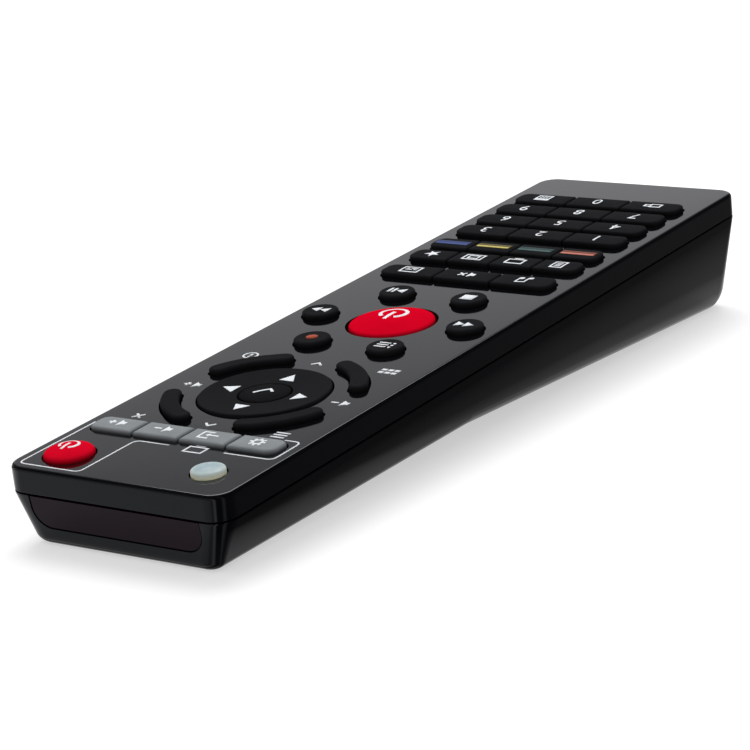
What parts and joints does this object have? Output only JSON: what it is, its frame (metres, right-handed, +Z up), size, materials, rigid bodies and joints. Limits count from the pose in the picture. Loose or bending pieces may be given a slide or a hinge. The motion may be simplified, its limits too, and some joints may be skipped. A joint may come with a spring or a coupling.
{
  "type": "universal remote control",
  "caption": "Slim hand-held infrared remote control with a wedge-shaped glossy case, rubber keys, a rocking ring, domed power keys and a sliding battery door.",
  "frame": {"origin": "on the table, under the middle of the remote control's outline", "axes": "+Z up, +Y along the body towards the infrared end, +X to the user's right; the key face leans towards the infrared end because the case is deeper at the rear"},
  "size_m": [0.053, 0.204, 0.0282],
  "materials": {
    "gloss_black": "gloss",
    "window_red": "gloss",
    "lens_cloudy": "satin",
    "black_rubber": "matte",
    "grey_rubber": "matte",
    "red_rubber": "satin",
    "board_green": "satin",
    "led_epoxy": "gloss",
    "led_white": "gloss",
    "chip_black": "matte",
    "ceramic_amber": "satin",
    "sleeve_blue": "gloss",
    "cell_can": "satin",
    "contact_steel": "satin"
  },
  "bodies": {
    "housing": {"top_cover": "gloss_black", "bottom_case": "gloss_black", "ir_window": "window_red", "indicator_lens": "lens_cloudy", "keypad_sheet": "black_rubber", "circuit_board": "board_green", "ir_led": "led_epoxy", "indicator_led": "led_white", "controller_chip": "chip_black", "resonator": "ceramic_amber", "capacitor": "sleeve_blue", "battery_right": "cell_can", "battery_left": "cell_can", "negative_contact": "contact_steel", "positive_contact": "contact_steel", "bridge_contact": "contact_steel", "case_screws": "contact_steel"},
    "battery_door": {"battery_door": "gloss_black"},
    "nav_ring_web": {"nav_ring_web": "black_rubber"},
    "nav_ring": {"nav_ring": "black_rubber"},
    "tv_power_key": {"tv_power_key": "red_rubber"},
    "power_key": {"power_key": "red_rubber"},
    "tv_set_key": {"tv_set_key": "grey_rubber"},
    "tv_source_key": {"tv_source_key": "grey_rubber"},
    "tv_volume_down_key": {"tv_volume_down_key": "grey_rubber"},
    "tv_volume_up_key": {"tv_volume_up_key": "grey_rubber"},
    "ok_key": {"ok_key": "black_rubber"},
    "exit_key": {"exit_key": "black_rubber"},
    "menu_key": {"menu_key": "black_rubber"},
    "guide_key": {"guide_key": "black_rubber"},
    "info_key": {"info_key": "black_rubber"},
    "forward_key": {"forward_key": "black_rubber"},
    "record_key": {"record_key": "black_rubber"},
    "list_key": {"list_key": "black_rubber"},
    "rewind_key": {"rewind_key": "black_rubber"},
    "stop_key": {"stop_key": "black_rubber"},
    "play_pause_key": {"play_pause_key": "black_rubber"},
    "audio_key": {"audio_key": "black_rubber"},
    "mute_key": {"mute_key": "black_rubber"},
    "subtitle_key": {"subtitle_key": "black_rubber"},
    "teletext_key": {"teletext_key": "black_rubber"},
    "tv_radio_key": {"tv_radio_key": "black_rubber"},
    "format_key": {"format_key": "black_rubber"},
    "favourites_key": {"favourites_key": "black_rubber"},
    "red_key": {"red_key": "black_rubber"},
    "green_key": {"green_key": "black_rubber"},
    "yellow_key": {"yellow_key": "black_rubber"},
    "blue_key": {"blue_key": "black_rubber"},
    "digit_1_key": {"digit_1_key": "black_rubber"},
    "digit_2_key": {"digit_2_key": "black_rubber"},
    "digit_3_key": {"digit_3_key": "black_rubber"},
    "digit_4_key": {"digit_4_key": "black_rubber"},
    "digit_5_key": {"digit_5_key": "black_rubber"},
    "digit_6_key": {"digit_6_key": "black_rubber"},
    "digit_7_key": {"digit_7_key": "black_rubber"},
    "digit_8_key": {"digit_8_key": "black_rubber"},
    "digit_9_key": {"digit_9_key": "black_rubber"},
    "usb_key": {"usb_key": "black_rubber"},
    "digit_0_key": {"digit_0_key": "black_rubber"},
    "plan_key": {"plan_key": "black_rubber"}
  },
  "joints": [
    {"name": "door_slide", "type": "slide", "parent": "housing", "child": "battery_door", "axis": [0, -0.9994, -0.0345], "range_m": [0, 0.08]},
    {"name": "ring_rock_lengthways", "type": "hinge", "parent": "housing", "child": "nav_ring_web", "pos_m": [0, 0.05226, 0.01589], "axis": [1, 0, 0], "range_deg": [-2.2, 2.2], "stiffness_Nm_per_rad": 0.2},
    {"name": "ring_rock_sideways", "type": "hinge", "parent": "nav_ring_web", "child": "nav_ring", "pos_m": [0, 0.05226, 0.01589], "axis": [0, 0.9983, -0.0585], "range_deg": [-2.2, 2.2], "stiffness_Nm_per_rad": 0.2},
    {"name": "tv_power_press", "type": "slide", "parent": "housing", "child": "tv_power_key", "axis": [0, -0.0585, -0.9983], "range_m": [0, 0.0008], "stiffness_N_per_m": 1100},
    {"name": "power_press", "type": "slide", "parent": "housing", "child": "power_key", "axis": [0, -0.0585, -0.9983], "range_m": [0, 0.0008], "stiffness_N_per_m": 1100},
    {"name": "tv_set_press", "type": "slide", "parent": "housing", "child": "tv_set_key", "axis": [0, -0.0585, -0.9983], "range_m": [0, 0.0008], "stiffness_N_per_m": 1100},
    {"name": "tv_source_press", "type": "slide", "parent": "housing", "child": "tv_source_key", "axis": [0, -0.0585, -0.9983], "range_m": [0, 0.0008], "stiffness_N_per_m": 1100},
    {"name": "tv_volume_down_press", "type": "slide", "parent": "housing", "child": "tv_volume_down_key", "axis": [0, -0.0585, -0.9983], "range_m": [0, 0.0008], "stiffness_N_per_m": 1100},
    {"name": "tv_volume_up_press", "type": "slide", "parent": "housing", "child": "tv_volume_up_key", "axis": [0, -0.0585, -0.9983], "range_m": [0, 0.0008], "stiffness_N_per_m": 1100},
    {"name": "ok_press", "type": "slide", "parent": "housing", "child": "ok_key", "axis": [0, -0.0585, -0.9983], "range_m": [0, 0.0008], "stiffness_N_per_m": 1100},
    {"name": "exit_press", "type": "slide", "parent": "housing", "child": "exit_key", "axis": [0, -0.0585, -0.9983], "range_m": [0, 0.0008], "stiffness_N_per_m": 1100},
    {"name": "menu_press", "type": "slide", "parent": "housing", "child": "menu_key", "axis": [0, -0.0585, -0.9983], "range_m": [0, 0.0008], "stiffness_N_per_m": 1100},
    {"name": "guide_press", "type": "slide", "parent": "housing", "child": "guide_key", "axis": [0, -0.0585, -0.9983], "range_m": [0, 0.0008], "stiffness_N_per_m": 1100},
    {"name": "info_press", "type": "slide", "parent": "housing", "child": "info_key", "axis": [0, -0.0585, -0.9983], "range_m": [0, 0.0008], "stiffness_N_per_m": 1100},
    {"name": "forward_press", "type": "slide", "parent": "housing", "child": "forward_key", "axis": [0, -0.0585, -0.9983], "range_m": [0, 0.0008], "stiffness_N_per_m": 1100},
    {"name": "record_press", "type": "slide", "parent": "housing", "child": "record_key", "axis": [0, -0.0585, -0.9983], "range_m": [0, 0.0008], "stiffness_N_per_m": 1100},
    {"name": "list_press", "type": "slide", "parent": "housing", "child": "list_key", "axis": [0, -0.0585, -0.9983], "range_m": [0, 0.0008], "stiffness_N_per_m": 1100},
    {"name": "rewind_press", "type": "slide", "parent": "housing", "child": "rewind_key", "axis": [0, -0.0585, -0.9983], "range_m": [0, 0.0008], "stiffness_N_per_m": 1100},
    {"name": "stop_press", "type": "slide", "parent": "housing", "child": "stop_key", "axis": [0, -0.0585, -0.9983], "range_m": [0, 0.0008], "stiffness_N_per_m": 1100},
    {"name": "play_pause_press", "type": "slide", "parent": "housing", "child": "play_pause_key", "axis": [0, -0.0585, -0.9983], "range_m": [0, 0.0008], "stiffness_N_per_m": 1100},
    {"name": "audio_press", "type": "slide", "parent": "housing", "child": "audio_key", "axis": [0, -0.0585, -0.9983], "range_m": [0, 0.0008], "stiffness_N_per_m": 1100},
    {"name": "mute_press", "type": "slide", "parent": "housing", "child": "mute_key", "axis": [0, -0.0585, -0.9983], "range_m": [0, 0.0008], "stiffness_N_per_m": 1100},
    {"name": "subtitle_press", "type": "slide", "parent": "housing", "child": "subtitle_key", "axis": [0, -0.0585, -0.9983], "range_m": [0, 0.0008], "stiffness_N_per_m": 1100},
    {"name": "teletext_press", "type": "slide", "parent": "housing", "child": "teletext_key", "axis": [0, -0.0585, -0.9983], "range_m": [0, 0.0008], "stiffness_N_per_m": 1100},
    {"name": "tv_radio_press", "type": "slide", "parent": "housing", "child": "tv_radio_key", "axis": [0, -0.0585, -0.9983], "range_m": [0, 0.0008], "stiffness_N_per_m": 1100},
    {"name": "format_press", "type": "slide", "parent": "housing", "child": "format_key", "axis": [0, -0.0585, -0.9983], "range_m": [0, 0.0008], "stiffness_N_per_m": 1100},
    {"name": "favourites_press", "type": "slide", "parent": "housing", "child": "favourites_key", "axis": [0, -0.0585, -0.9983], "range_m": [0, 0.0008], "stiffness_N_per_m": 1100},
    {"name": "red_press", "type": "slide", "parent": "housing", "child": "red_key", "axis": [0, -0.0585, -0.9983], "range_m": [0, 0.0008], "stiffness_N_per_m": 1100},
    {"name": "green_press", "type": "slide", "parent": "housing", "child": "green_key", "axis": [0, -0.0585, -0.9983], "range_m": [0, 0.0008], "stiffness_N_per_m": 1100},
    {"name": "yellow_press", "type": "slide", "parent": "housing", "child": "yellow_key", "axis": [0, -0.0585, -0.9983], "range_m": [0, 0.0008], "stiffness_N_per_m": 1100},
    {"name": "blue_press", "type": "slide", "parent": "housing", "child": "blue_key", "axis": [0, -0.0585, -0.9983], "range_m": [0, 0.0008], "stiffness_N_per_m": 1100},
    {"name": "digit_1_press", "type": "slide", "parent": "housing", "child": "digit_1_key", "axis": [0, -0.0585, -0.9983], "range_m": [0, 0.0008], "stiffness_N_per_m": 1100},
    {"name": "digit_2_press", "type": "slide", "parent": "housing", "child": "digit_2_key", "axis": [0, -0.0585, -0.9983], "range_m": [0, 0.0008], "stiffness_N_per_m": 1100},
    {"name": "digit_3_press", "type": "slide", "parent": "housing", "child": "digit_3_key", "axis": [0, -0.0585, -0.9983], "range_m": [0, 0.0008], "stiffness_N_per_m": 1100},
    {"name": "digit_4_press", "type": "slide", "parent": "housing", "child": "digit_4_key", "axis": [0, -0.0585, -0.9983], "range_m": [0, 0.0008], "stiffness_N_per_m": 1100},
    {"name": "digit_5_press", "type": "slide", "parent": "housing", "child": "digit_5_key", "axis": [0, -0.0585, -0.9983], "range_m": [0, 0.0008], "stiffness_N_per_m": 1100},
    {"name": "digit_6_press", "type": "slide", "parent": "housing", "child": "digit_6_key", "axis": [0, -0.0585, -0.9983], "range_m": [0, 0.0008], "stiffness_N_per_m": 1100},
    {"name": "digit_7_press", "type": "slide", "parent": "housing", "child": "digit_7_key", "axis": [0, -0.0585, -0.9983], "range_m": [0, 0.0008], "stiffness_N_per_m": 1100},
    {"name": "digit_8_press", "type": "slide", "parent": "housing", "child": "digit_8_key", "axis": [0, -0.0585, -0.9983], "range_m": [0, 0.0008], "stiffness_N_per_m": 1100},
    {"name": "digit_9_press", "type": "slide", "parent": "housing", "child": "digit_9_key", "axis": [0, -0.0585, -0.9983], "range_m": [0, 0.0008], "stiffness_N_per_m": 1100},
    {"name": "usb_press", "type": "slide", "parent": "housing", "child": "usb_key", "axis": [0, -0.0585, -0.9983], "range_m": [0, 0.0008], "stiffness_N_per_m": 1100},
    {"name": "digit_0_press", "type": "slide", "parent": "housing", "child": "digit_0_key", "axis": [0, -0.0585, -0.9983], "range_m": [0, 0.0008], "stiffness_N_per_m": 1100},
    {"name": "plan_press", "type": "slide", "parent": "housing", "child": "plan_key", "axis": [0, -0.0585, -0.9983], "range_m": [0, 0.0008], "stiffness_N_per_m": 1100}
  ]
}
